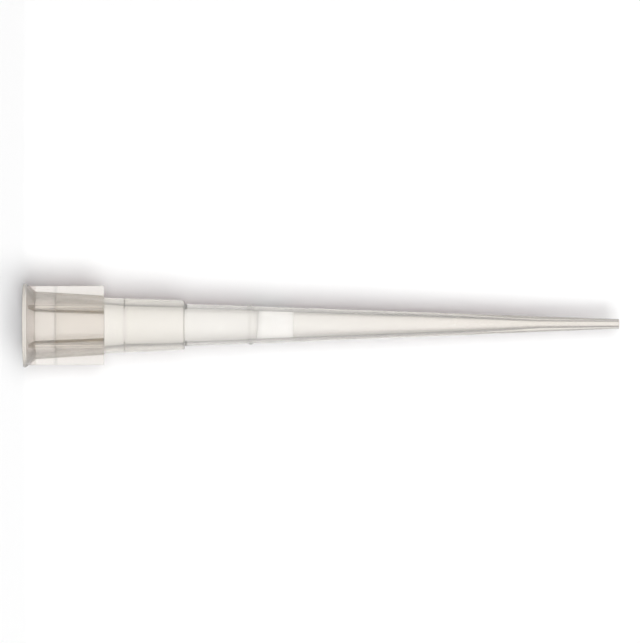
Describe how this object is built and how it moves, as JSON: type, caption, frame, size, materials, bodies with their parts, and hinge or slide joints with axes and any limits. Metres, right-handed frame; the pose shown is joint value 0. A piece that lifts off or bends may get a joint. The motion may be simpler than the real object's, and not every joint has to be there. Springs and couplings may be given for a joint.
{
  "type": "filter pipette tip",
  "caption": "Slender translucent plastic pipette tip with a ribbed, flared collar, a stepped conical body and a white porous filter plug seated in its bore.",
  "frame": {"origin": "centre of the collar's rim plane, which the tip stands on", "axes": "+Z along the tip's axis from the collar to the orifice; +X along the first of the hub's ribs"},
  "size_m": [0.0072, 0.0072, 0.051],
  "materials": {
    "translucent_polypropylene": "natural moulded polypropylene, see-through with a faint warm haze, smooth and glossy",
    "porous_polyethylene": "sintered white polyethylene, matt and finely porous"
  },
  "bodies": {
    "root": {"tip_body": "translucent_polypropylene", "filter_plug": "porous_polyethylene"}
  },
  "joints": []
}
